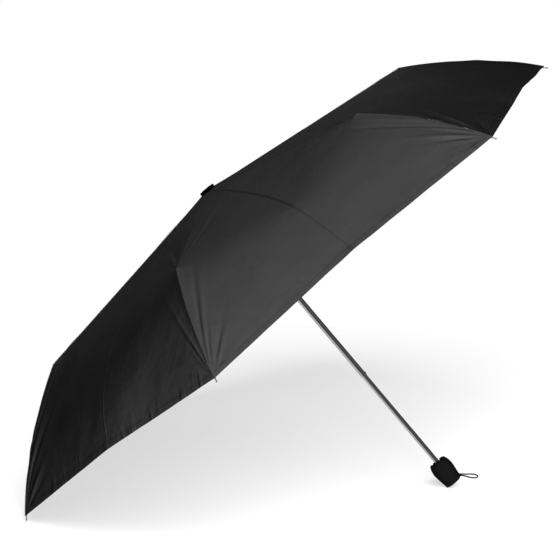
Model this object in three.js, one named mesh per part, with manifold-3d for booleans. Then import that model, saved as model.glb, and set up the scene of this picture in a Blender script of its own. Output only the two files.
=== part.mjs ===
// Folding umbrella with six three-section ribs and a three-tube telescopic shaft, standing open.
// Units are millimetres. The shaft lies on +Z with the crown at the top, and the origin is on the
// shaft's axis at the middle of the handle, where a hand holds it.

import * as THREE from 'three';
import { mergeVertices } from 'three/addons/utils/BufferGeometryUtils.js';
import Module from 'manifold-3d';

const wasm = await Module();
wasm.setup();

// ---- Driving dimensions -------------------------------------------------------------------

const RIB_COUNT = 6;
const RIB_STEP = (2 * Math.PI) / RIB_COUNT;
const GAP = 0.3; // clearance between neighbouring pieces

// Heights along the shaft
const CROWN_TOP = 512;
const HUB_Z = 503.5; // wire ring that the ribs hinge on
const HANDLE_BASE = -19.3;
const HANDLE_RIM = 19.3;

// Telescopic tubes, outer radius and inner radius
const TUBE_BOTTOM = { outer: 3.5, inner: 3.1, low: -12, high: 199 };
const TUBE_MIDDLE = { outer: 4.05, inner: 3.75, low: 174, high: 337 };
const TUBE_TOP = { outer: 4.7, inner: 4.3, low: 312, high: 507.2 };
const TUBE_SIDES = 32;

// Crown
const HUB_RING_RADIUS = 8;
const NOTCH_RADIUS = 10.4;
const CAP_RADIUS = 11.6;

// Runner
const RUNNER_Z = 430.7; // wire ring that the stretchers hinge on
const RUNNER_RING_RADIUS = 8.6;
const RUNNER_RADIUS = 11;
const RUNNER_SLEEVE_RADIUS = 6.3;
const RUNNER_SLEEVE_LENGTH = 20;

// Ribs, seen from the side
const RIB_SLOPE = THREE.MathUtils.degToRad(7.6);
const INNER_LENGTH = 152.5;
const MIDDLE_LENGTH = 161.2;
const KNEE_LENGTH = INNER_LENGTH + MIDDLE_LENGTH;
const OUTER_CHORD = 212.7;
const OUTER_SLOPE = THREE.MathUtils.degToRad(38.7);
const OUTER_BULGE = 9; // rise of the bowed outer rib above its chord
const OUTER_WIDTH = 1.4;
const RIB_HEIGHT = 2;
const RIB_WIDTH = 2.4;
const JOINT_OFFSET = 1.15; // hinge axis above or below a rib's centre line
const LUG_RADIUS = 1.15;
const PIN_RADIUS = 0.5;
const PIN_HOLE_RADIUS = 0.75;
const TONGUE_WIDTH = 1;
const FORK_GAP = 1.6;
const WIRE_RADIUS = 0.45;

// Stretcher
const STRETCHER_LENGTH = 95;
const STRETCHER_SLOPE = THREE.MathUtils.degToRad(-39.7);
const STRETCHER_HEIGHT = 2.5;
const STRETCHER_WIDTH = 4.2;
const STRETCHER_CLEAR = 3; // width between its cheeks
const STRETCHER_WEB = 0.5;
const STRETCHER_FORK = 38;

// Rib tips
const TIP_RADIUS = 1.15;
const TIP_LENGTH = 12;
const TIP_SOCKET = 5;
const OUTER_END = OUTER_CHORD - TIP_LENGTH + 0.5; // where the outer rib stops, inside its tip

// Canopy cloth
const CLOTH = 0.6;
const CLOTH_OVER_HUB = 4.5; // cloth's middle above a rib's centre line
const CLOTH_OVER_RIB = 3.4;
const CLOTH_OVER_TIP = 2.2;
const HEM_INSET = 5; // from the hem's corner to the rib's tip
const SEAM_GAP = 0.25; // from a gore's edge to the rib's plane

// ---- Materials ----------------------------------------------------------------------------

const finish = (color, roughness, metalness) =>
  new THREE.MeshStandardMaterial({ color, roughness, metalness });
const steel = () => finish(0xc8c9cb, 0.25, 1);
const blackSteel = () => finish(0x232325, 0.45, 0.8);
const blackPlastic = () => finish(0x1b1b1c, 0.6, 0);
const blackCloth = () => finish(0x2a292b, 0.85, 0);
const cordBlack = () => finish(0x1d1c1d, 0.9, 0);
const silverPlastic = () => finish(0xb4b5b8, 0.4, 0.3);

// ---- Shape helpers ------------------------------------------------------------------------

const v2 = (x, y) => new THREE.Vector2(x, y);

function toSolid(geometry) {
  const bare = geometry.clone();
  bare.deleteAttribute('normal');
  bare.deleteAttribute('uv');
  const merged = mergeVertices(bare, 1e-4);
  const mesh = new wasm.Mesh({
    numProp: 3,
    vertProperties: Float32Array.from(merged.attributes.position.array),
    triVerts: Uint32Array.from(merged.index.array),
  });
  return new wasm.Manifold(mesh);
}

function toGeometry(solid) {
  const mesh = solid.getMesh();
  const geometry = new THREE.BufferGeometry();
  geometry.setAttribute('position', new THREE.BufferAttribute(mesh.vertProperties, 3));
  geometry.setIndex(new THREE.BufferAttribute(mesh.triVerts, 1));
  geometry.computeVertexNormals();
  return geometry;
}

function cut(geometry, cutters) {
  return toGeometry(cutters.reduce((solid, tool) => solid.subtract(toSolid(tool)), toSolid(geometry)));
}

function join(geometry, additions) {
  return toGeometry(additions.reduce((solid, extra) => solid.add(toSolid(extra)), toSolid(geometry)));
}

// A solid of revolution about Z from [radius, height] points that run up the outside.
function lathe(points, sides = TUBE_SIDES) {
  return new THREE.LatheGeometry(points.map(([r, z]) => v2(r, z)), sides).rotateX(Math.PI / 2);
}

// A ring about Z whose section is a rectangle.
function ring(inner, outer, low, high, sides = TUBE_SIDES) {
  return lathe([[inner, low], [outer, low], [outer, high], [inner, high], [inner, low]], sides);
}

// A box given by its lowest and highest corners.
function block(low, high) {
  const size = high.map((value, axis) => value - low[axis]);
  const middle = high.map((value, axis) => (value + low[axis]) / 2);
  return new THREE.BoxGeometry(...size).translate(...middle);
}

// A shape drawn in the rib's side view (along, up) and given a width across the rib.
function sideView(shape, width, curveSegments = 5) {
  const options = { depth: width, bevelEnabled: false, curveSegments };
  return new THREE.ExtrudeGeometry(shape, options).rotateX(Math.PI / 2).translate(0, width / 2, 0);
}

function roundHole(shape, x, z, radius) {
  shape.holes.push(new THREE.Path().absarc(x, z, radius, 0, 2 * Math.PI, true));
}

// A disc across the rib, such as a rivet or the lug around it.
function crossDisc(x, z, radius, width) {
  return new THREE.CylinderGeometry(radius, radius, width, 12).translate(x, 0, z);
}

// A straight bar from x = start to x = end, in the side view.
function bar(start, end, width) {
  const half = RIB_HEIGHT / 2;
  return block([start, -width / 2, -half], [end, width / 2, half]);
}

// The underside groove that makes a bar into a U channel.
function channel(start, end) {
  return block([start, -RIB_WIDTH / 2 + 0.45, -RIB_HEIGHT], [end, RIB_WIDTH / 2 - 0.45, 0.4]);
}

// Two cheeks and a rivet at a rib's outer end, for the next rib's tongue to turn between.
function withFork(geometry, x, z) {
  const lug = crossDisc(x, z, LUG_RADIUS, RIB_WIDTH);
  const neck = block([x - 2, -RIB_WIDTH / 2, Math.min(0, z)], [x, RIB_WIDTH / 2, Math.max(0, z)]);
  const slot = block([x - 1.7, -FORK_GAP / 2, -4], [x + 3, FORK_GAP / 2, 4]);
  const rivet = crossDisc(x, z, PIN_RADIUS, RIB_WIDTH - 0.1);
  return join(cut(join(geometry, [lug, neck]), [slot]), [rivet]);
}

// A thin tongue with a hole at a rib's inner end.
function withTongue(geometry, z) {
  const lug = crossDisc(0, z, LUG_RADIUS, TONGUE_WIDTH);
  const neck = block([0, -TONGUE_WIDTH / 2, -RIB_HEIGHT / 2], [3, TONGUE_WIDTH / 2, RIB_HEIGHT / 2]);
  return cut(join(geometry, [lug, neck]), [crossDisc(0, z, PIN_HOLE_RADIUS, RIB_WIDTH)]);
}

// A tube wall with a window for a catch on its +X side.
function slottedTube(tube, windows) {
  const cutters = windows.map(([low, high]) => block([1, -1.3, low], [8, 1.3, high]));
  return cut(ring(tube.inner, tube.outer, tube.low, tube.high), cutters);
}

// ---- Handle and wrist loop ----------------------------------------------------------------

function handleShell() {
  const side = new THREE.SplineCurve([
    v2(12.4, -17.2), v2(13.7, -9), v2(14.9, 0), v2(15.4, 6.5), v2(14.3, 13.5), v2(12.6, 17.6),
  ]);
  const profile = [
    [0, HANDLE_BASE], [6, HANDLE_BASE], [9.6, HANDLE_BASE + 0.4], [11.6, HANDLE_BASE + 1.1],
    ...side.getPoints(14).map((p) => [p.x, p.y]),
    [11.8, HANDLE_RIM - 0.3], [11.2, HANDLE_RIM], [9.6, HANDLE_RIM], [9, HANDLE_RIM - 0.5],
    [9, 15.8], [3.8, 15.8], [3.8, TUBE_BOTTOM.low - GAP], [0, TUBE_BOTTOM.low - GAP],
  ];
  const dips = [];
  for (let i = 0; i < RIB_COUNT; i += 1) {
    const dip = new THREE.CylinderGeometry(2.7, 2.7, 10, 16).rotateZ(Math.PI / 2);
    dips.push(dip.translate(12.5, 0, HANDLE_RIM + 0.5).rotateZ(i * RIB_STEP));
  }
  return cut(lathe(profile, 48), dips);
}

// Route of the wrist loop: distance out from the handle, and to the side of the loop's middle.
const LOOP_HALF = [
  [0.6, 1.25], [2.6, 1.2], [5, 1.25], [7.2, 1.5], [9.6, 1.9], [12.2, 2.3], [15, 2.55], [17.8, 2.6],
  [20.2, 2.4], [22.2, 1.8], [23.3, 0.95],
];
const LOOP_ROUTE = [
  ...LOOP_HALF,
  [23.7, 0],
  ...LOOP_HALF.map(([out, side]) => [out, -side]).reverse(),
];
const LOOP_EXIT = new THREE.Vector3(13.25, -2.94, -16.1);
const LOOP_OUT = new THREE.Vector3(0.669, -0.148, -0.728).normalize();
const LOOP_SIDE = new THREE.Vector3(0.62, -0.42, 0.66).normalize();
const CORD_RADIUS = 1;
const CORD_STEPS = 34;

function wristLoop() {
  const route = LOOP_ROUTE.map(([out, side]) =>
    LOOP_EXIT.clone().addScaledVector(LOOP_OUT, out).addScaledVector(LOOP_SIDE, side));
  const section = new THREE.Shape().absarc(0, 0, CORD_RADIUS, 0, 2 * Math.PI, false);
  return new THREE.ExtrudeGeometry(section, {
    steps: CORD_STEPS,
    curveSegments: 4,
    bevelEnabled: false,
    extrudePath: new THREE.CatmullRomCurve3(route),
  });
}

// ---- Shaft ----------------------------------------------------------------------------------

// Each catch's window: its steep end and its sloping end.
const LOWER_WINDOW = [175.6, 183.4];
const UPPER_WINDOW = [313.6, 321.4];
const RUNNER_WINDOW = [402.6, 410.4];

// A leaf spring inside a tube, with a wedge nose that stands out through the window.
// Its steep face is at z = 0 and its slope rises to z = slope.
function catchLeaf(noseRadius, tubeInner, slope) {
  const back = 0.9;
  const front = 1.35;
  const far = Math.sign(slope);
  const foot = -far * 9;
  const shape = new THREE.Shape([
    v2(-tubeInner + 0.8, foot - far * 2), v2(front, foot - far * 2), v2(front, 0),
    v2(noseRadius, 0), v2(noseRadius, far * 1), v2(front, slope), v2(front, slope + far * 3),
    v2(back, slope + far * 3), v2(back, foot), v2(-tubeInner + 0.8, foot),
  ]);
  return sideView(shape, 2);
}

function middleTube() {
  const tube = slottedTube(TUBE_MIDDLE, [LOWER_WINDOW, UPPER_WINDOW]);
  const dimple = new THREE.CylinderGeometry(0.7, 0.7, 3, 10).translate(0, -4, 0).rotateZ(-0.22);
  return cut(tube, [dimple.translate(0, 0, 183.5)]);
}

// ---- Crown and runner -----------------------------------------------------------------------

// Slots across a hub, one for each rib.
function hubSlots(inner, outer, width, low, high) {
  const slots = [];
  for (let i = 0; i < RIB_COUNT; i += 1) {
    slots.push(block([inner, -width / 2, low], [outer, width / 2, high]).rotateZ(i * RIB_STEP));
  }
  return slots;
}

function crownNotch() {
  const bore = TUBE_TOP.outer + GAP;
  const profile = [
    [bore, -4.5], [9.6, -4.5], [NOTCH_RADIUS, -3.7], [NOTCH_RADIUS, 3], [9.7, 3.7], [bore, 3.7],
    [bore, -4.5],
  ];
  const groove = ring(HUB_RING_RADIUS - 0.75, HUB_RING_RADIUS + 0.75, -6, 0.75);
  return cut(lathe(profile, 36), [groove, ...hubSlots(6.1, 12, 3, -6, 6)]);
}

function crownCap() {
  const face = CROWN_TOP - HUB_Z;
  return lathe([
    [0, -7], [4, -7], [4, face - 3.3], [9.5, face - 3.3], [9.8, face - 3.7], [CAP_RADIUS - 0.2, face - 3.7],
    [CAP_RADIUS, face - 3.4], [CAP_RADIUS, face - 1], [CAP_RADIUS - 0.5, face - 0.45], [8, face - 0.3],
    [7.5, face], [0, face],
  ], 36);
}

function runnerBody() {
  const bore = TUBE_TOP.outer + GAP;
  const sleeve = RUNNER_SLEEVE_RADIUS;
  const base = -RUNNER_SLEEVE_LENGTH;
  const profile = [
    [bore, base], [7.4, base], [7.8, base + 0.5], [7.8, base + 3], [7.2, base + 3.6], [sleeve, base + 4.5],
    [sleeve, -7], [RUNNER_RADIUS - 1.2, -4.6], [RUNNER_RADIUS, -3.6], [RUNNER_RADIUS, 2],
    [RUNNER_RADIUS - 0.6, 2.6], [bore, 2.6], [bore, base],
  ];
  const groove = ring(RUNNER_RING_RADIUS - 0.9, RUNNER_RING_RADIUS + 0.9, -0.9, 4);
  return cut(lathe(profile, 36), [groove, ...hubSlots(6.5, 13, 4.9, -2.9, 6)]);
}

// ---- Ribs -----------------------------------------------------------------------------------

function innerRib() {
  const half = RIB_HEIGHT / 2;
  const eye = crossDisc(0, 0, 1.6, RIB_WIDTH);
  const body = cut(bar(0, INNER_LENGTH - 1.7, RIB_WIDTH), [channel(5, INNER_LENGTH - 6)]);
  const hinged = cut(join(body, [eye]), [crossDisc(0, 0, PIN_HOLE_RADIUS, RIB_WIDTH + 1)]);
  const neck = block([INNER_LENGTH - 4, -RIB_WIDTH / 2, -half], [INNER_LENGTH, RIB_WIDTH / 2, half]);
  return withFork(join(hinged, [neck]), INNER_LENGTH, JOINT_OFFSET);
}

function middleRib() {
  const end = MIDDLE_LENGTH;
  const body = cut(bar(1.7, end, RIB_WIDTH), [channel(5, end - 6)]);
  return withFork(withTongue(body, JOINT_OFFSET), end, -JOINT_OFFSET);
}

// Height of the bowed outer rib's centre line above its chord.
function bow(along) {
  const share = along / OUTER_CHORD;
  return 4 * OUTER_BULGE * share * (1 - share);
}

// Slope of a rib's tip, below the chord.
function tipSlope() {
  const length = OUTER_CHORD - OUTER_END;
  return Math.atan2(bow(OUTER_END) - bow(OUTER_CHORD), length);
}

function outerRib() {
  const start = 1.7;
  const steps = 18;
  const top = [];
  const under = [];
  for (let i = 0; i <= steps; i += 1) {
    const x = start + ((OUTER_END - start) * i) / steps;
    const half = RIB_HEIGHT / 2 - (0.25 * i) / steps;
    top.push(v2(x, bow(x) + half));
    under.unshift(v2(x, bow(x) - half));
  }
  const body = sideView(new THREE.Shape([...top, ...under]), OUTER_WIDTH);
  const pin = new THREE.CylinderGeometry(0.55, 0.55, TIP_SOCKET, 10).rotateZ(-Math.PI / 2);
  pin.translate(TIP_SOCKET / 2 - 0.3, 0, 0).rotateY(tipSlope()).translate(OUTER_END, 0, bow(OUTER_END));
  return join(withTongue(body, -JOINT_OFFSET), [pin]);
}

// A tip, lying along +X from its open socket to its round nose.
function ribTip() {
  const bore = 0.85;
  const neck = 0.8;
  const profile = [
    [0, TIP_SOCKET], [bore, TIP_SOCKET], [bore, 0], [TIP_RADIUS, 0], [TIP_RADIUS, 5.6], [neck, 6.2],
    [neck, TIP_LENGTH - 3.2], [TIP_RADIUS, TIP_LENGTH - 2.4], [TIP_RADIUS, TIP_LENGTH - 1.1],
    [0.7, TIP_LENGTH - 0.25], [0, TIP_LENGTH],
  ];
  return lathe(profile, 12).rotateY(Math.PI / 2);
}

// The stretcher's cheeks pass either side of the inner rib; a web joins them near the runner.
function stretcher() {
  const half = STRETCHER_HEIGHT / 2;
  const shape = new THREE.Shape();
  shape.moveTo(0, -1.7);
  shape.lineTo(4, -half);
  shape.lineTo(STRETCHER_LENGTH, -half);
  shape.absarc(STRETCHER_LENGTH, 0, half, -Math.PI / 2, Math.PI / 2, false);
  shape.lineTo(4, half);
  shape.lineTo(0, 1.7);
  shape.absarc(0, 0, 1.7, Math.PI / 2, (3 * Math.PI) / 2, false);
  roundHole(shape, 0, 0, 0.9);
  const clear = STRETCHER_CLEAR / 2;
  const forkStart = STRETCHER_LENGTH - STRETCHER_FORK;
  return cut(sideView(shape, STRETCHER_WIDTH), [
    block([4.5, -clear, -3], [forkStart, clear, half - STRETCHER_WEB]),
    block([forkStart - 1, -clear, -3], [STRETCHER_LENGTH + 3, clear, 3]),
  ]);
}

// The wire that draws the outer rib in, beside the middle rib.
function controlWire() {
  const overhang = 3;
  const length = MIDDLE_LENGTH + 2 * overhang;
  const wire = new THREE.CylinderGeometry(WIRE_RADIUS, WIRE_RADIUS, length, 8).rotateZ(-Math.PI / 2);
  return wire.translate(MIDDLE_LENGTH / 2, 0, 0);
}

// ---- Canopy ---------------------------------------------------------------------------------

// Points of a rib's plane as [distance from the shaft, height]: down a slope, and square to it.
function along(start, slope, length) {
  return [start[0] + length * Math.cos(slope), start[1] - length * Math.sin(slope)];
}

function above(start, slope, height) {
  return [start[0] + height * Math.sin(slope), start[1] + height * Math.cos(slope)];
}

const HUB = [HUB_RING_RADIUS, HUB_Z];
const ELBOW = along(HUB, RIB_SLOPE, INNER_LENGTH);
const KNEE = along(HUB, RIB_SLOPE, KNEE_LENGTH);
const KNEE_AXIS = above(KNEE, RIB_SLOPE, -JOINT_OFFSET);

// Cloth line over a rib, for share 0 (crown) to 1 (knee) to 2 (tip).
function clothOverRib(share) {
  const { lerp } = THREE.MathUtils;
  if (share <= 1) {
    const lift = lerp(CLOTH_OVER_HUB, CLOTH_OVER_RIB, Math.min(1, share * 12));
    return above(along(HUB, RIB_SLOPE, KNEE_LENGTH * share), RIB_SLOPE, lift);
  }
  const beyond = share - 1;
  const run = (OUTER_CHORD - HEM_INSET) * beyond;
  const lift = bow(run) + lerp(CLOTH_OVER_RIB, CLOTH_OVER_TIP, beyond);
  const slope = lerp(RIB_SLOPE, OUTER_SLOPE, Math.min(1, beyond * 5));
  return above(along(KNEE, OUTER_SLOPE, run), slope, lift);
}

// Cloth line midway between two ribs, with a fold at share 1.
const MID_CLOTH = new THREE.SplineCurve([
  v2(8, 508), v2(105, 493), v2(192, 476), v2(262, 457.5), v2(321, 437),
]);
const MID_CLOTH_OUTER = new THREE.SplineCurve([
  v2(321, 437), v2(364, 410), v2(402, 378), v2(431, 343),
]);

function clothBetween(share) {
  return share <= 1 ? MID_CLOTH.getPoint(share) : MID_CLOTH_OUTER.getPoint(share - 1);
}

// One gore, bent from a flat slab: length to the tip, width from rib to rib, thickness up.
function gore() {
  const slab = new THREE.BoxGeometry(2, 2, 1, 16, 6, 1);
  const position = slab.attributes.position;
  for (let i = 0; i < position.count; i += 1) {
    const share = position.getX(i) + 1;
    const across = position.getY(i);
    const [ribR, ribZ] = clothOverRib(share);
    const middle = clothBetween(share);
    const side = Math.sign(across) || 1;
    const towardRib = Math.abs(across);
    const ribEdge = [
      ribR * Math.cos(RIB_STEP / 2) + SEAM_GAP * Math.sin(RIB_STEP / 2),
      side * (ribR * Math.sin(RIB_STEP / 2) - SEAM_GAP * Math.cos(RIB_STEP / 2)),
    ];
    const x = middle.x + (ribEdge[0] - middle.x) * towardRib;
    const y = ribEdge[1] * towardRib;
    const z = middle.y + (ribZ - middle.y) * towardRib + position.getZ(i) * CLOTH;
    position.setXYZ(i, x, y, z);
  }
  slab.computeVertexNormals();
  return slab;
}

// ---- Assembly -------------------------------------------------------------------------------

const umbrella = new THREE.Group();

function place(parent, name, geometry, material, position = [0, 0, 0], slope = 0) {
  const mesh = new THREE.Mesh(geometry, material);
  mesh.name = name;
  mesh.position.set(...position);
  mesh.rotation.y = slope;
  parent.add(mesh);
}

place(umbrella, 'handle_shell', handleShell(), blackPlastic());
place(umbrella, 'wrist_loop', wristLoop(), cordBlack());
place(umbrella, 'tube_bottom', slottedTube(TUBE_BOTTOM, [LOWER_WINDOW]), steel());
place(umbrella, 'tube_middle', middleTube(), steel());
place(umbrella, 'tube_top', slottedTube(TUBE_TOP, [UPPER_WINDOW, RUNNER_WINDOW]), steel());

const lowerLeaf = catchLeaf(5, TUBE_BOTTOM.inner, 6);
const upperLeaf = catchLeaf(5.6, TUBE_MIDDLE.inner, 6);
const runnerLeaf = catchLeaf(6.4, TUBE_TOP.inner, -6);
place(umbrella, 'lower_catch', lowerLeaf, steel(), [0, 0, LOWER_WINDOW[0] + 0.6]);
place(umbrella, 'upper_catch', upperLeaf, steel(), [0, 0, UPPER_WINDOW[0] + 0.6]);
place(umbrella, 'runner_catch', runnerLeaf, steel(), [0, 0, RUNNER_WINDOW[1] - 0.6]);

const hubWire = new THREE.TorusGeometry(HUB_RING_RADIUS, WIRE_RADIUS, 6, 36);
const runnerWire = new THREE.TorusGeometry(RUNNER_RING_RADIUS, WIRE_RADIUS, 6, 36);
place(umbrella, 'crown_notch', crownNotch(), blackPlastic(), [0, 0, HUB_Z]);
place(umbrella, 'crown_wire', hubWire, steel(), [0, 0, HUB_Z]);
place(umbrella, 'crown_cap', crownCap(), blackPlastic(), [0, 0, HUB_Z]);
place(umbrella, 'runner', runnerBody(), blackPlastic(), [0, 0, RUNNER_Z]);
place(umbrella, 'runner_wire', runnerWire, steel(), [0, 0, RUNNER_Z]);

const shapes = {
  inner: innerRib(),
  middle: middleRib(),
  outer: outerRib(),
  tip: ribTip(),
  stretcher: stretcher(),
  wire: controlWire(),
  gore: gore(),
};
const tipStart = OUTER_END + GAP;

for (let i = 0; i < RIB_COUNT; i += 1) {
  const number = i + 1;
  const spoke = new THREE.Group();
  spoke.rotation.z = i * RIB_STEP;
  umbrella.add(spoke);
  place(spoke, `inner_rib_${number}`, shapes.inner, blackSteel(), [HUB[0], 0, HUB[1]], RIB_SLOPE);
  place(spoke, `middle_rib_${number}`, shapes.middle, blackSteel(), [ELBOW[0], 0, ELBOW[1]], RIB_SLOPE);
  const wireSide = [ELBOW[0], 1.95, ELBOW[1]];
  place(spoke, `control_wire_${number}`, shapes.wire, steel(), wireSide, RIB_SLOPE);
  place(spoke, `stretcher_${number}`, shapes.stretcher, blackSteel(),
    [RUNNER_RING_RADIUS, 0, RUNNER_Z], STRETCHER_SLOPE);

  const outer = new THREE.Group();
  outer.position.set(KNEE_AXIS[0], 0, KNEE_AXIS[1]);
  outer.rotation.y = OUTER_SLOPE;
  spoke.add(outer);
  place(outer, `outer_rib_${number}`, shapes.outer, blackSteel(), [0, 0, JOINT_OFFSET]);
  const tipPlace = [tipStart, 0, bow(tipStart) + JOINT_OFFSET];
  place(outer, `rib_tip_${number}`, shapes.tip, silverPlastic(), tipPlace, tipSlope());

  const gap = new THREE.Group();
  gap.rotation.z = (i + 0.5) * RIB_STEP;
  umbrella.add(gap);
  place(gap, `canopy_gore_${number}`, shapes.gore, blackCloth());
}

export default umbrella;
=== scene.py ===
"""Looks of the open folding umbrella: cloth canopy, steel frame, plastic handle and crown, wrist cord."""

import math

import bpy
import numpy as np
from mathutils import Matrix, Vector, noise


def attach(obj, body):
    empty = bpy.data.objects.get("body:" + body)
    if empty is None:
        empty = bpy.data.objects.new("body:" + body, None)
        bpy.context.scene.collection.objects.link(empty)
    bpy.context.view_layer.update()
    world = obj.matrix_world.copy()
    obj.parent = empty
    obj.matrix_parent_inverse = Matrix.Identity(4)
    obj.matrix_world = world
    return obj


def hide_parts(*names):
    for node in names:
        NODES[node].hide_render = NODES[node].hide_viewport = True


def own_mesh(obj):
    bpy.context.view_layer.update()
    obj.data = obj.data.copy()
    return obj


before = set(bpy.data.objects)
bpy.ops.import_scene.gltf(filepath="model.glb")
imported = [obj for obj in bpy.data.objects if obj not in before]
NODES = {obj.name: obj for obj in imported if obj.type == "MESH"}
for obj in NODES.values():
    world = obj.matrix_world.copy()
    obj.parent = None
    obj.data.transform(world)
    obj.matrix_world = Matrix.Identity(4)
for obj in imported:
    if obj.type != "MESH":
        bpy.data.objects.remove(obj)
RIBS = range(1, 7)


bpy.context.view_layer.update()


# ---- Camera ----------------------------------------------------------------------------------


def make_camera(azimuth, elevation, roll, distance, lens, target):
    a, e, r = (math.radians(angle) for angle in (azimuth, elevation, roll))
    back = Vector((math.sin(a) * math.cos(e), -math.cos(a) * math.cos(e), math.sin(e)))
    right = Vector((0, 0, 1)).cross(back).normalized()
    up = back.cross(right)
    image_right = math.cos(r) * right - math.sin(r) * up
    image_up = math.sin(r) * right + math.cos(r) * up
    data = bpy.data.cameras.new("camera")
    data.lens = lens
    data.sensor_width = 36
    data.clip_start = 0.1
    data.clip_end = 60
    camera = bpy.data.objects.new("camera", data)
    turn = Matrix((image_right, image_up, back)).transposed().to_4x4()
    camera.matrix_world = Matrix.Translation(Vector(target) + distance * back) @ turn
    bpy.context.scene.collection.objects.link(camera)
    bpy.context.scene.camera = camera
    return back, image_right, image_up


TO_CAMERA, IMAGE_RIGHT, IMAGE_UP = make_camera(
    azimuth=-12.3, elevation=3.2, roll=40.2, distance=5.644, lens=264, target=(-0.0034, 0.0008, 0.3503)
)


# ---- Shader helpers --------------------------------------------------------------------------


class Shader:
    """A node material under construction."""

    def __init__(self, name):
        self.material = bpy.data.materials.new(name)
        self.material.use_nodes = True
        self.tree = self.material.node_tree
        self.surface = self.tree.nodes["Principled BSDF"]

    def node(self, kind, inputs=None, **settings):
        made = self.tree.nodes.new(kind)
        for key, value in settings.items():
            setattr(made, key, value)
        for key, value in (inputs or {}).items():
            self.put(made.inputs[key], value)
        return made

    def put(self, socket, value):
        if isinstance(value, bpy.types.NodeSocket):
            self.tree.links.new(value, socket)
        else:
            socket.default_value = value

    def set(self, **inputs):
        sockets = {socket.name.lower().replace(" ", "_"): socket for socket in self.surface.inputs}
        for key, value in inputs.items():
            self.put(sockets[key], value)

    def math(self, operation, a, b=0.0, clamp=False):
        return self.node("ShaderNodeMath", {0: a, 1: b}, operation=operation, use_clamp=clamp).outputs[0]

    def place(self, uv=None):
        if uv:
            return self.node("ShaderNodeUVMap", uv_map=uv).outputs["UV"]
        return self.node("ShaderNodeTexCoord").outputs["Object"]

    def scaled(self, vector, scale, turn=(0, 0, 0)):
        inputs = {"Vector": vector, "Scale": scale, "Rotation": turn}
        return self.node("ShaderNodeMapping", inputs).outputs["Vector"]

    def noise(self, vector, scale, detail=3.0, rough=0.5):
        inputs = {"Vector": vector, "Scale": scale, "Detail": detail, "Roughness": rough}
        return self.node("ShaderNodeTexNoise", inputs).outputs["Fac"]

    def wave(self, vector, scale, direction="X"):
        inputs = {"Vector": vector, "Scale": scale, "Distortion": 0.0}
        return self.node("ShaderNodeTexWave", inputs, bands_direction=direction).outputs["Fac"]

    def ramp(self, value, low, high, at=(0.0, 1.0)):
        made = self.node("ShaderNodeMapRange", {"Value": value, "From Min": at[0], "From Max": at[1],
                                                "To Min": low, "To Max": high})
        return made.outputs["Result"]

    def mix(self, factor, a, b):
        made = self.node("ShaderNodeMix", data_type="RGBA")
        for socket, value in zip((made.inputs[0], made.inputs[6], made.inputs[7]), (factor, a, b)):
            self.put(socket, value)
        return made.outputs[2]

    def bump(self, height, distance, strength=1.0, under=None):
        made = self.node("ShaderNodeBump", {"Height": height, "Distance": distance, "Strength": strength})
        if under:
            self.put(made.inputs["Normal"], under)
        return made.outputs["Normal"]


def grey(value, warm=0.0):
    return (value * (1 + warm), value, value * (1 - warm), 1.0)


# ---- Materials -------------------------------------------------------------------------------


HEM_STITCHES = 0.0085  # from the cloth's edge, in metres


def cloth_material():
    """Black pongee: plain weave, soft sheen, pressed fold lines and small puckers, with a painted
    highlight along the knee fold.
    """
    s = Shader("black_pongee")
    weave = s.place("weave")
    folds = s.node("ShaderNodeSeparateXYZ", {0: s.place("folds")})
    edge = s.node("ShaderNodeSeparateXYZ", {0: s.place("edges")})
    across = s.wave(s.scaled(weave, (900, 0, 0)), 1.0)
    along = s.wave(s.scaled(weave, (0, 900, 0)), 1.0, "Y")
    threads = s.math("MULTIPLY", across, along)
    slub = s.noise(s.scaled(weave, (500, 60, 1)), 1.0, 2.0)
    cloud = s.noise(weave, 14.0, 3.0)
    crumple = s.noise(weave, 60.0, 4.0, 0.6)
    crease = s.noise(s.scaled(weave, (8, 13, 1), (0, 0, 0.5)), 1.0, 1.5)
    crease = s.math("ABSOLUTE", s.ramp(crease, -1.0, 1.0))
    crease = s.math("POWER", s.math("SUBTRACT", 1.0, crease), 14.0)
    pucker = s.ramp(s.noise(s.scaled(weave, (55, 10, 1)), 1.0, 2.0), 0.0, 1.0, (0.52, 0.78))
    near_hem = s.ramp(edge.outputs["Y"], 1.0, 0.0, (0.004, 0.030))
    from_stitches = s.math("ABSOLUTE", s.math("SUBTRACT", edge.outputs["Y"], HEM_STITCHES))
    hem_line = s.ramp(from_stitches, 1.0, 0.0, (0.0, 0.0012))
    mid_fold = s.ramp(folds.outputs["X"], 1.0, 0.0, (0.0, 0.0018))
    knee_fold_and_highlight = s.ramp(folds.outputs["Y"], 0.7, 0.0, (0.0, 0.0016))
    fold = s.math("MAXIMUM", mid_fold, knee_fold_and_highlight)
    rubbed = s.mix(cloud, grey(0.035, 0.012), grey(0.043, 0.012))
    # Painted highlight: the base colour is lighter along the knee fold line, where the crease catches the
    # light.
    s.set(
        base_color=s.mix(s.math("MULTIPLY", knee_fold_and_highlight, 0.5), rubbed, grey(0.09)),
        roughness=s.ramp(slub, 0.42, 0.50),
        specular_ior_level=0.6,
    )
    shape = s.bump(cloud, 0.005, 0.4)
    shape = s.bump(crumple, 0.0008, 0.5, shape)
    shape = s.bump(crease, 0.0005, 0.5, shape)
    shape = s.bump(s.math("MULTIPLY", pucker, near_hem), 0.0026, 0.8, shape)
    shape = s.bump(fold, 0.0009, 0.9, shape)
    shape = s.bump(hem_line, -0.0004, 0.5, shape)
    shape = s.bump(s.math("ADD", threads, slub), 0.00012, 0.25, shape)
    s.set(normal=shape)
    return s.material


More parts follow.
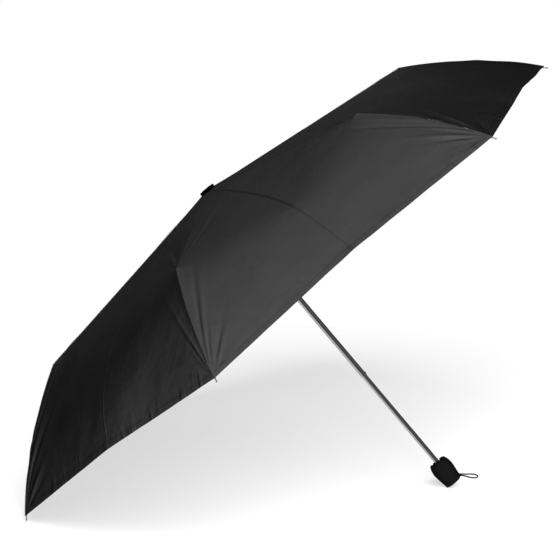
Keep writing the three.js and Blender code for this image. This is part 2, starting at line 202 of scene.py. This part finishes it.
def steel_material(name, colour, rough, metal=1.0, stretch=(400, 400, 6), scratch=0.06):
    """Bright drawn steel with fine lengthwise marks and handling haze."""
    s = Shader(name)
    place = s.place()
    marks = s.noise(s.scaled(place, stretch), 1.0, 2.0)
    haze = s.noise(place, 38.0, 3.0)
    s.set(
        base_color=s.mix(haze, grey(colour), grey(colour * 0.88)),
        metallic=metal,
        roughness=s.math("ADD", s.ramp(haze, rough * 0.8, rough * 1.2), s.ramp(marks, 0.0, scratch)),
    )
    return s.material


def paint_material(name, colour, rough, wear):
    """Black lacquer on steel, rubbed to metal in small patches."""
    s = Shader(name)
    place = s.place()
    patch = s.noise(place, 240.0, 3.0, 0.65)
    worn = s.ramp(patch, 0.0, wear, (0.66, 0.74))
    s.set(
        base_color=s.mix(worn, grey(colour), grey(0.32)),
        metallic=s.math("MULTIPLY", worn, 0.8),
        roughness=s.ramp(s.noise(place, 90.0), rough * 0.85, rough * 1.2),
        normal=s.bump(s.noise(place, 900.0, 2.0), 0.00004, 0.5),
    )
    return s.material


def plastic_material(name, colour, rough, grain, depth):
    """Moulded black plastic with a fine spark texture and rubbed sheen."""
    s = Shader(name)
    place = s.place()
    spark = s.noise(place, grain, 3.0, 0.6)
    rub = s.noise(place, 60.0, 3.0)
    s.set(
        base_color=s.mix(rub, grey(colour), grey(colour * 1.35)),
        roughness=s.ramp(rub, rough - 0.05, rough + 0.07),
        specular_ior_level=0.05,
        normal=s.bump(spark, depth, 0.7),
    )
    return s.material


def cord_material():
    """Braided black cord."""
    s = Shader("braided_cord")
    place = s.place()
    left = s.wave(s.scaled(place, (700, 700, 700), (0.6, 0, 0.785)), 1.0)
    right = s.wave(s.scaled(place, (700, 700, 700), (0, 0.6, -0.785)), 1.0)
    braid = s.math("MAXIMUM", left, right)
    fuzz = s.noise(place, 2500.0, 2.0)
    s.set(
        base_color=s.mix(braid, grey(0.003), grey(0.009)),
        roughness=s.ramp(fuzz, 0.7, 0.9),
        specular_ior_level=0.2,
        normal=s.bump(braid, 0.0002, 0.8, s.bump(fuzz, 0.0001, 0.4)),
    )
    return s.material


CLOTH = cloth_material()
CHROME = steel_material("shaft_chrome", 0.86, 0.14)
SPRING = steel_material("spring_steel", 0.55, 0.28)
TIP_METAL = steel_material("tip_metal", 0.72, 0.26, 0.85, (150, 150, 150), 0.05)
BLACK_STEEL = paint_material("rib_lacquer", 0.018, 0.36, 0.8)
HANDLE_PLASTIC = plastic_material("handle_plastic", 0.004, 0.6, 900.0, 0.00006)
CROWN_PLASTIC = plastic_material("crown_plastic", 0.004, 0.38, 700.0, 0.00004)
CORD = cord_material()


def finish_node(name, material):
    mesh = NODES[name].data
    mesh.materials.clear()
    mesh.materials.append(material)


for tube in ("tube_bottom", "tube_middle", "tube_top"):
    finish_node(tube, CHROME)
for leaf in ("lower_catch", "upper_catch", "runner_catch", "crown_wire", "runner_wire"):
    finish_node(leaf, SPRING)
for moulding in ("crown_notch", "crown_cap", "runner"):
    finish_node(moulding, CROWN_PLASTIC)
finish_node("handle_shell", HANDLE_PLASTIC)
for rib in RIBS:
    for part in ("inner_rib", "middle_rib", "outer_rib", "stretcher"):
        finish_node(f"{part}_{rib}", BLACK_STEEL)
    finish_node(f"control_wire_{rib}", SPRING)
    finish_node(f"rib_tip_{rib}", TIP_METAL)


def keep_piece(obj, body, material):
    bpy.context.scene.collection.objects.link(obj)
    obj.data.materials.append(material)
    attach(obj, body)
    return obj


def mesh_of(name, points, faces, smooth=True):
    mesh = bpy.data.meshes.new(name)
    mesh.from_pydata([tuple(map(float, p)) for p in points], [], [tuple(map(int, f)) for f in faces])
    mesh.polygons.foreach_set("use_smooth", [smooth] * len(mesh.polygons))
    mesh.update()
    return mesh


# ---- Wrist cord ------------------------------------------------------------------------------

CORD_DIAMETER = 0.002
LOOP_EXIT = (0.01325, -0.00294, -0.0161)
LOOP_OUT = (0.669, -0.148, -0.728)
LOOP_SIDE = (0.62, -0.42, 0.66)
# One half of the loop, from the handle to its far end: (out, sideways), in metres.
LOOP_HALF = (
    (-0.0035, 0.0006), (-0.001, 0.0008), (0.0018, 0.0011), (0.0045, 0.00125),
    (0.0072, 0.0015), (0.0096, 0.0019), (0.0122, 0.0023), (0.015, 0.00255),
    (0.0178, 0.0026), (0.0202, 0.0024), (0.0222, 0.0018), (0.0233, 0.00095),
)
LOOP_END = 0.0237


def unit(vector):
    return np.array(vector, float) / np.linalg.norm(vector)


def loop_points():
    out, side = unit(LOOP_OUT), unit(LOOP_SIDE)
    side = unit(side - out * (side @ out))
    flat = [*LOOP_HALF, (LOOP_END, 0.0), *[(a, -b) for a, b in reversed(LOOP_HALF)]]
    return [np.array(LOOP_EXIT) + a * out + b * side for a, b in flat]


def through(points, steps):
    """Points of a smooth line that passes through these."""
    p = np.array(points, float)
    p = np.vstack([2 * p[0] - p[1], p, 2 * p[-1] - p[-2]])
    line = []
    for k in range(1, len(p) - 2):
        for t in np.arange(steps) / steps:
            line.append(0.5 * (2 * p[k] + (p[k + 1] - p[k - 1]) * t
                               + (2 * p[k - 1] - 5 * p[k] + 4 * p[k + 1] - p[k + 2]) * t * t
                               + (3 * p[k] - p[k - 1] - 3 * p[k + 1] + p[k + 2]) * t ** 3))
    return np.array([*line, p[-2]])


def curve_piece(name, line, radius, body, material):
    data = bpy.data.curves.new(name, "CURVE")
    data.dimensions = "3D"
    data.bevel_depth = radius
    data.bevel_resolution = 4
    spline = data.splines.new("POLY")
    spline.points.add(len(line) - 1)
    spline.points.foreach_set("co", [value for p in line for value in (*map(float, p), 1.0)])
    return keep_piece(bpy.data.objects.new(name, data), body, material)


LOOP_LINE = through(loop_points(), 6)
loop = curve_piece("wrist_cord", LOOP_LINE, CORD_DIAMETER / 2, "handle", CORD)
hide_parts("wrist_loop")


# ---- Canopy ----------------------------------------------------------------------------------

HALF_STEP = math.radians(30)
HUB = np.array([0.008, 0.5035])
RIB_SLOPE = math.radians(7.6)
OUTER_SLOPE = math.radians(38.7)
INNER_LENGTH = 0.1525
KNEE_LENGTH = 0.3137
OUTER_LENGTH = 0.2077
OUTER_CHORD = 0.2127
OUTER_BULGE = 0.009
CLOTH_OVER_HUB = 0.0045
CLOTH_OVER_RIB = 0.0034
CLOTH_OVER_TIP = 0.0022
# The line midway between two ribs: (distance from the shaft, height).
MID_INNER = ((0.008, 0.508), (0.105, 0.493), (0.192, 0.476), (0.262, 0.4575), (0.321, 0.437))
MID_OUTER = ((0.321, 0.437), (0.364, 0.410), (0.402, 0.378), (0.431, 0.343))
ELBOW_SHARE = INNER_LENGTH / KNEE_LENGTH
INNER_STEPS = 24
MIDDLE_STEPS = 26
OUTER_STEPS = 56
COARSE_STEPS = 40  # from a rib to the line midway, for the cloth's overall shape
ACROSS_STEPS = 60  # the same for its folds, closer together beside the ribs
TENSION_ROUNDS = 160


def down(slope, length):
    return np.array([length * math.cos(slope), -length * math.sin(slope)])


def up(slope, rise):
    return np.array([rise * math.sin(slope), rise * math.cos(slope)])


KNEE = HUB + down(RIB_SLOPE, KNEE_LENGTH)


def rib_line(share):
    """The cloth over a rib, for share 0 at the crown, 1 at the knee and 2 at the tip."""
    if share <= 1:
        off_hub = min(1.0, share * 12)
        lift = CLOTH_OVER_HUB * (1 - off_hub) + CLOTH_OVER_RIB * off_hub
        return HUB + down(RIB_SLOPE, KNEE_LENGTH * share) + up(RIB_SLOPE, lift)
    run = OUTER_LENGTH * (share - 1)
    bow = 4 * OUTER_BULGE * (run / OUTER_CHORD) * (1 - run / OUTER_CHORD)
    lift = CLOTH_OVER_RIB + (CLOTH_OVER_TIP - CLOTH_OVER_RIB) * (share - 1)
    past_knee = min(1.0, 5 * (share - 1))
    slope = RIB_SLOPE + (OUTER_SLOPE - RIB_SLOPE) * past_knee
    return KNEE + down(OUTER_SLOPE, run) + up(OUTER_SLOPE, bow) + up(slope, lift)


def evenly(line):
    """The same line with its points an equal distance apart."""
    along = np.concatenate([[0], np.cumsum(np.linalg.norm(np.diff(line, axis=0), axis=1))])
    at = np.linspace(0, along[-1], len(line))
    return np.stack([np.interp(at, along, values) for values in line.T], axis=1)


MID_LINES = (evenly(through(MID_INNER, 60)), evenly(through(MID_OUTER, 60)))


def mid_line(share):
    line = MID_LINES[0] if share <= 1 else MID_LINES[1]
    at = (share if share <= 1 else share - 1) * (len(line) - 1)
    low = min(int(at), len(line) - 2)
    return line[low] + (line[low + 1] - line[low]) * (at - low)


SHARES = np.concatenate([
    np.linspace(0, ELBOW_SHARE, INNER_STEPS + 1)[:-1],
    np.linspace(ELBOW_SHARE, 1, MIDDLE_STEPS + 1)[:-1],
    1 + np.linspace(0, 1, OUTER_STEPS + 1),
])
COARSE = np.linspace(-1, 1, 2 * COARSE_STEPS + 1)
BESIDE_RIB = 1 - np.linspace(1, 0, ACROSS_STEPS + 1) ** 1.5
ACROSS = np.concatenate([-BESIDE_RIB[:0:-1], BESIDE_RIB])
KNEE_ROW = INNER_STEPS + MIDDLE_STEPS
ELBOW_ROW = INNER_STEPS


def bare_gore(columns):
    """Grid of one gore's points about +X: rows from the crown to the hem, columns from rib to rib."""
    grid = np.zeros((len(SHARES), len(columns), 3))
    for row, share in enumerate(SHARES):
        rib_r, rib_z = rib_line(share)
        mid_r, mid_z = mid_line(share)
        edge = np.abs(columns)
        grid[row, :, 0] = mid_r + (rib_r * math.cos(HALF_STEP) - mid_r) * edge
        grid[row, :, 1] = rib_r * math.sin(HALF_STEP) * columns
        grid[row, :, 2] = mid_z + (rib_z - mid_z) * edge
    return grid


def sampled(field, rows, columns):
    """Values of a grid at places between its rows and columns."""
    low_r = np.clip(np.floor(rows).astype(int), 0, field.shape[0] - 2)
    low_c = np.clip(np.floor(columns).astype(int), 0, field.shape[1] - 2)
    r, c = (rows - low_r)[..., None], (columns - low_c)[..., None]
    near = field[low_r, low_c] * (1 - c) + field[low_r, low_c + 1] * c
    far = field[low_r + 1, low_c] * (1 - c) + field[low_r + 1, low_c + 1] * c
    return near * (1 - r) + far * r


def relax(grid, rounds):
    """Lets the cloth even out between the ribs and the hem, as tension does."""
    for _ in range(rounds):
        inside = (grid[:-2, 1:-1] + grid[2:, 1:-1] + grid[1:-1, :-2] + grid[1:-1, 2:]) / 4
        grid[1:-1, 1:-1] += 0.7 * (inside - grid[1:-1, 1:-1])
    return grid


def tight_gore():
    """The same gore once tension has evened it out between the ribs and the hem."""
    coarse = bare_gore(COARSE)
    moved = relax(coarse.copy(), TENSION_ROUNDS) - coarse
    rows, columns = np.meshgrid(np.arange(len(SHARES)), (ACROSS + 1) * COARSE_STEPS, indexing="ij")
    return bare_gore(ACROSS) + sampled(moved, rows, columns)


def turned(points, angle):
    c, s = math.cos(angle), math.sin(angle)
    return points @ np.array([[c, s, 0], [-s, c, 0], [0, 0, 1]])


def grid_normals(grid):
    down_rows = np.gradient(grid, axis=0)
    over_columns = np.gradient(grid, axis=1)
    normal = np.cross(down_rows, over_columns)
    normal[0] = normal[1]
    length = np.linalg.norm(normal, axis=2, keepdims=True)
    return normal / np.maximum(length, 1e-12)


FOLDS_AT_TIP = (
    (0.045, 0.016, 0.180, 0.0014), (0.085, 0.018, 0.160, -0.0013), (0.13, 0.026, 0.120, 0.0017),
    (0.20, 0.030, 0.095, -0.0017), (0.28, 0.034, 0.080, 0.0020), (0.38, 0.040, 0.062, -0.0017),
    (0.50, 0.050, 0.060, 0.0020), (0.68, 0.060, 0.050, -0.0017), (0.90, 0.070, 0.045, 0.0015),
)
FOLDS_AT_KNEE = (
    (0.13, 0.026, 0.170, 0.0007), (0.21, 0.030, 0.150, -0.0008), (0.30, 0.034, 0.125, 0.0009),
    (0.41, 0.040, 0.095, -0.0007), (0.56, 0.050, 0.070, 0.0006),
)


def noise_at(points, scale, seed):
    return np.array([
        [noise.noise(Vector(p) * scale + Vector((seed, 2.7 * seed, 0))) for p in row] for row in points
    ])


def radiating(grid, corner, toward, folds, seed):
    """Tension folds that run out of a corner of the frame, as a height over the grid."""
    offset = grid - corner
    distance = np.linalg.norm(offset, axis=2)
    aside = np.arccos(np.clip((offset @ unit(toward - corner)) / np.maximum(distance, 1e-6), -1, 1))
    height = np.zeros(distance.shape)
    # Each fold: its angle from the rib, its width there, its reach from the corner and its height.
    for k, (angle, width, reach, rise) in enumerate(folds):
        shift = 0.25 * math.sin(2.3 * seed + 1.7 * k)
        lane = angle * (1 + 0.3 * shift) + 0.10 * shift * distance / 0.1
        profile = np.exp(-(((aside - lane) / width) ** 2))
        length = np.clip(distance / 0.06, 0, 1) * np.exp(-((distance / (reach * (1 + shift))) ** 3))
        height += rise * (1 + shift) * profile * length
    over_rib = np.clip((distance * np.sin(aside) - 0.004) / 0.006, 0, 1)
    return np.where(height < 0, height * over_rib, height)


def frame_folds(grid, rib_column, seed):
    """The folds beside one rib, out of its tip and out of its knee."""
    line = grid[:, rib_column]
    tip = radiating(grid, line[-1], line[KNEE_ROW + 8], FOLDS_AT_TIP, seed)
    return tip + radiating(grid, line[KNEE_ROW], line[6], FOLDS_AT_KNEE, seed + 0.8)


# Slow waves in the free cloth: (height, how many to a metre, where the noise starts).
WAVES = ((0.0032, 9.0, 3.1), (0.0009, 24.0, 9.4))


def dressed_gore(number):
    """One gore in place, with its undulations and folds."""
    grid = tight_gore()
    normals = grid_normals(grid)
    placed = turned(grid, math.radians(60 * number - 30))
    free = 1 - np.abs(ACROSS)[None, :] ** 3
    rows = np.clip(np.arange(len(SHARES)) / 12, 0, 1)[:, None]
    waves = sum(rise * noise_at(placed, scale, seed) for rise, scale, seed in WAVES)
    height = waves * free * rows
    height += frame_folds(grid, 0, number) + frame_folds(grid, -1, number + 0.5)
    grid = grid + normals * height[:, :, None]
    return turned(grid, math.radians(60 * number - 30))


def arc_lengths(grid, axis):
    step = np.linalg.norm(np.diff(grid, axis=axis), axis=2)
    zero = np.zeros_like(np.take(step, [0], axis=axis))
    return np.concatenate([zero, np.cumsum(step, axis=axis)], axis=axis)


ZONES = (
    ("inner", 0, ELBOW_ROW, "inner_rib", RIB_SLOPE, 9.5),
    ("middle", ELBOW_ROW, KNEE_ROW, "middle_rib", RIB_SLOPE, 11.0),
    ("outer", KNEE_ROW, len(SHARES) - 1, "outer_rib", OUTER_SLOPE, 16.0),
)
CUT_SQUARENESS = 0.35  # of the cut between two panels: 0 follows the grid's row, 1 is square to the rib
# A felled seam over each rib: (distance from the rib, height above the cloth).
SEAM_PROFILE = ((0.0, 0.0005), (0.0011, 0.00048), (0.0018, 0.0004), (0.0021, -0.0001))
# The hem, folded round the cloth's edge: (distance from the edge, height above the cloth).
HEM_PROFILE = (
    (0.0092, -0.0001), (0.009, 0.00025), (0.0045, 0.0003), (0.0006, 0.00035), (0.0, 0.0),
    (0.0006, -0.00035), (0.0045, -0.0003), (0.009, -0.00025), (0.0092, 0.0001),
)
HEM_UNDERSIDE = 5  # the profile's first point below the cloth
SIDE_NAMES = {1: "left", -1: "right"}


def rib_directions(rib, side, slope):
    """Outward along the ground, sideways to one side, and square to the cloth over the rib."""
    angle = math.radians(60 * (rib - 1))
    outward = np.array([math.cos(angle), math.sin(angle), 0])
    sideways = side * np.array([-math.sin(angle), math.cos(angle), 0])
    return outward, sideways, outward * math.sin(slope) + np.array([0, 0, math.cos(slope)])


def gather(piece):
    """Gives a piece of cloth its own copy of its mesh."""
    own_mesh(piece)


def patch_mesh(name, patches):
    """One mesh from grids of points, each with its normals, texture places and turn."""
    points, faces, facing, places = [], [], [], {"weave": [], "folds": [], "edges": []}
    for grid, normals, uvs, flip in patches:
        tall, wide = grid.shape[:2]
        start = sum(len(block) for block in points)
        for r in range(tall - 1):
            for c in range(wide - 1):
                corner = start + r * wide + c
                face = (corner, corner + wide, corner + wide + 1, corner + 1)
                faces.append(face[::-1] if flip else face)
        points.append(grid.reshape(-1, 3))
        facing.append(normals.reshape(-1, 3))
        for key, values in uvs.items():
            places[key].append(values.reshape(-1, 2))
    mesh = mesh_of(name, np.concatenate(points), faces)
    loops = np.zeros(len(mesh.loops), int)
    mesh.loops.foreach_get("vertex_index", loops)
    for key, blocks in places.items():
        layer = mesh.uv_layers.new(name=key)
        layer.data.foreach_set("uv", np.concatenate(blocks)[loops].ravel())
    mesh.normals_split_custom_set_from_vertices([tuple(n) for n in np.concatenate(facing)])
    return mesh


class Gore:
    """One gore's cloth as grids of points, normals and texture places."""

    def __init__(self, number):
        plain = bare_gore(ACROSS)
        self.number = number
        self.points = dressed_gore(number)
        self.normals = grid_normals(self.points)
        self.down = arc_lengths(plain, 0)
        self.over = arc_lengths(plain, 1)
        fold = np.abs(self.over - self.over[:, [ACROSS_STEPS]])
        knee = np.abs(self.down - self.down[[KNEE_ROW]])
        to_rib = np.minimum(self.over, self.over[:, [-1]] - self.over)
        self.reach = plain[:, :, 0] * math.cos(HALF_STEP) + np.abs(plain[:, :, 1]) * math.sin(HALF_STEP)
        self.uvs = {
            "weave": np.stack([plain[:, :, 1], self.down], axis=2),
            "folds": np.stack([fold, knee], axis=2),
            "edges": np.stack([to_rib, self.down[[-1]] - self.down], axis=2),
        }

    def half(self, rows, columns, height=0.0, over=None):
        """The cloth at these places, raised by a height along its normals or along one direction."""
        points = sampled(self.points, rows, columns)
        normals = sampled(self.normals, rows, columns)
        lift = normals if over is None else np.broadcast_to(over, normals.shape)
        points = points + lift * (height[..., None] if isinstance(height, np.ndarray) else height)
        return points, normals, {key: sampled(value, rows, columns) for key, value in self.uvs.items()}


    def cut(self, row):
        """Where the cut between two panels, which leaves the rib at this row, crosses each column."""
        if row in (0, len(SHARES) - 1):
            return np.full(len(ACROSS), float(row))
        square = [np.interp(self.reach[row, 0], reach, np.arange(len(reach))) for reach in self.reach.T]
        return row + CUT_SQUARENESS * (np.array(square) - row)


def columns_of(side):
    """A half panel's columns, counted from its rib."""
    return np.arange(ACROSS_STEPS + 1.0) if side > 0 else 2 * ACROSS_STEPS - np.arange(ACROSS_STEPS + 1.0)


def panel_patch(gore, side, zone):
    _, first, last, *_ = zone
    columns = columns_of(side)
    top, bottom = (gore.cut(row)[columns.astype(int)] for row in (first, last))
    steps = math.ceil((bottom - top).max())
    rows = top + (bottom - top) * np.linspace(0, 1, steps + 1)[:, None]
    return (*gore.half(rows, np.tile(columns, (steps + 1, 1))), side < 0)


def seam_patch(gore, rib, side, zone):
    _, first, last, _, slope, _ = zone
    over = rib_directions(rib, side, slope)[2]
    rows = np.arange(first, last + 1)
    columns = np.zeros((len(rows), len(SEAM_PROFILE)))
    for k, row in enumerate(rows):
        lengths = gore.over[row]
        narrow = min(1.0, lengths[-1] / 0.02)
        for j, (away, _) in enumerate(SEAM_PROFILE):
            at = np.interp(away * narrow, lengths, np.arange(len(lengths)))
            columns[k, j] = at if side > 0 else len(lengths) - 1 - at
    heights = np.tile([height for _, height in SEAM_PROFILE], (len(rows), 1))
    rows = np.repeat(rows[:, None], len(SEAM_PROFILE), axis=1).astype(float)
    return (*gore.half(rows, columns, heights, over), side < 0)


def hem_patch(gore, side):
    columns = columns_of(side)
    rows = np.zeros((len(HEM_PROFILE), len(columns)))
    for c, column in enumerate(columns.astype(int)):
        lengths = gore.down[:, column]
        for k, (away, _) in enumerate(HEM_PROFILE):
            rows[k, c] = np.interp(lengths[-1] - away, lengths, np.arange(len(lengths)))
    heights = np.tile([[height] for _, height in HEM_PROFILE], (1, len(columns)))
    columns = np.tile(columns, (len(HEM_PROFILE), 1))
    points, normals, uvs = gore.half(rows, columns, heights)
    normals[HEM_UNDERSIDE:] *= -1
    return points, normals, uvs, side < 0


BACK_CLOTH = []  # cloth on the far side of the shaft, which has a lamp of its own


def cloth_piece(name, mesh, body):
    piece = keep_piece(bpy.data.objects.new(name, mesh), body, CLOTH)
    if sum(vertex.co.y for vertex in mesh.vertices) > 0:
        BACK_CLOTH.append(piece)
    return piece


def make_panel(gore, rib, side, zone):
    """The cloth from a rib to the line midway, over one section of the rib."""
    name, _, _, body, _, _ = zone
    label = f"{name}_{rib}_{SIDE_NAMES[side]}"
    patch = panel_patch(gore, side, zone)
    panel = cloth_piece(f"cloth_{label}", patch_mesh(f"cloth_{label}", [patch]), f"{body}_{rib}")
    gather(panel)
    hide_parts(f"canopy_gore_{gore.number}")
    if name == "outer":
        hem_mesh = patch_mesh(f"hem_{label}", [hem_patch(gore, side)])
        hem = cloth_piece(f"hem_{label}", hem_mesh, f"{body}_{rib}")
        gather(hem)


GORES = {number: Gore(number) for number in RIBS}
for rib in RIBS:
    sides = ((GORES[rib], 1), (GORES[(rib - 2) % 6 + 1], -1))
    for zone in ZONES:
        name = f"seam_{zone[0]}_{rib}"
        halves = [seam_patch(gore, rib, side, zone) for gore, side in sides]
        seam = cloth_piece(name, patch_mesh(name, halves), f"{zone[3]}_{rib}")
        for gore, side in sides:
            make_panel(gore, rib, side, zone)


# ---- Floor, lights and world -----------------------------------------------------------------


def floor_material():
    s = Shader("pale_floor")
    s.set(base_color=grey(0.36), roughness=0.9, emission_color=grey(1.0), emission_strength=0.61)
    clear = s.node("ShaderNodeBsdfTransparent").outputs[0]
    behind = s.node("ShaderNodeNewGeometry").outputs["Backfacing"]
    mixed = s.node("ShaderNodeMixShader", {0: behind, 1: s.surface.outputs[0], 2: clear})
    s.put(s.tree.nodes["Material Output"].inputs["Surface"], mixed.outputs[0])
    return s.material


FLOOR_NORMAL = unit((0.558, -0.322, 0.765))
LOWEST_TIP = np.array([-0.486, 0, 0.3285])
TIP_CLEARANCE = 0.0014
FLOOR_BELOW = np.array([0, 0, 0.25])
FLOOR_HALF_SIZE = 0.85


def make_floor():
    """A sheet just under the lowest rib tip, centred below the middle of the umbrella."""
    normal = FLOOR_NORMAL
    side = unit(np.cross(normal, (0, 0, 1)))
    other = np.cross(normal, side)
    under_tip = LOWEST_TIP - TIP_CLEARANCE * normal
    centre = FLOOR_BELOW - normal * float((FLOOR_BELOW - under_tip) @ normal)
    ends = ((-1, -1), (1, -1), (1, 1), (-1, 1))
    points = [centre + FLOOR_HALF_SIZE * (a * side + b * other) for a, b in ends]
    mesh = mesh_of("floor", points, [(0, 1, 2, 3)], smooth=False)
    if mesh.polygons[0].normal.dot(Vector(normal)) < 0:
        mesh.flip_normals()
    mesh.materials.append(floor_material())
    floor = bpy.data.objects.new("floor", mesh)
    bpy.context.scene.collection.objects.link(floor)
    floor.visible_diffuse = False
    floor.visible_glossy = False
    return floor


LIGHT_AIM = Vector((0, 0, 0.4))


def area_light(name, way, size, light, distance=3.2, only=(), without=(), shine=True):
    """A square softbox that gives this irradiance, in watts per square metre, where it aims.

    It lights the objects in only, or all but those in without. Without shine it makes no highlights.
    """
    data = bpy.data.lights.new(name, "AREA")
    data.size = size
    data.energy = light * math.pi * distance ** 2
    lamp = bpy.data.objects.new(name, data)
    way = Vector(way).normalized()
    lamp.location = LIGHT_AIM + way * distance
    lamp.rotation_mode = "QUATERNION"
    lamp.rotation_quaternion = way.to_track_quat("Z", "Y")
    lamp.visible_camera = False
    lamp.visible_glossy = shine
    bpy.context.scene.collection.objects.link(lamp)
    if only or without:
        linked = bpy.data.collections.new(f"{name}_lights")
        for obj in only or without:
            linked.objects.link(obj)
        for member in linked.collection_objects:
            member.light_linking.link_state = "EXCLUDE" if without else "INCLUDE"
        lamp.light_linking.receiver_collection = linked


def towards(right, upward, near):
    return right * Vector(IMAGE_RIGHT) + upward * Vector(IMAGE_UP) + near * Vector(TO_CAMERA)


def make_world(light, seen):
    world = bpy.data.worlds.new("studio")
    world.use_nodes = True
    tree = world.node_tree
    background = tree.nodes["Background"]
    rays = tree.nodes.new("ShaderNodeLightPath")
    level = tree.nodes.new("ShaderNodeMapRange")
    level.inputs["To Min"].default_value = light
    level.inputs["To Max"].default_value = seen
    tree.links.new(rays.outputs["Is Camera Ray"], level.inputs["Value"])
    tree.links.new(level.outputs["Result"], background.inputs["Strength"])
    background.inputs["Color"].default_value = (1, 1, 1, 1)
    bpy.context.scene.world = world


floor = make_floor()
make_world(light=0.03, seen=1.0)
TUBES = [NODES[name] for name in ("tube_bottom", "tube_middle", "tube_top")]
HANDLE_END = [*TUBES, NODES["handle_shell"], floor]
area_light("overhead", towards(-0.40, 0.86, -0.31), size=3.4, light=0.36)
area_light("front", towards(0.30, -0.26, 0.92), size=0.7, light=8.5, without=TUBES, shine=False)
area_light("back", (0.25, 0.80, 0.50), size=4.5, light=5.0, only=BACK_CLOTH)
area_light("under", (0.1, 0.25, -0.9), size=2.0, light=3.0, without=HANDLE_END)
area_light("tube_bright_side", (-0.99, 0.13, 0.0), size=6.8, light=2.3, only=TUBES)
area_light("tube_dim_side", (0.5, -0.87, 0.0), size=8.0, light=0.32, only=TUBES)
area_light("left", (-0.95, -0.1, 0.1), size=1.5, light=0.4, without=HANDLE_END)
area_light("floor_wash", towards(0.15, 0.55, 0.82), size=2.2, light=9.0, distance=3.0, only=[floor])
bpy.context.scene.view_settings.view_transform = "Standard"
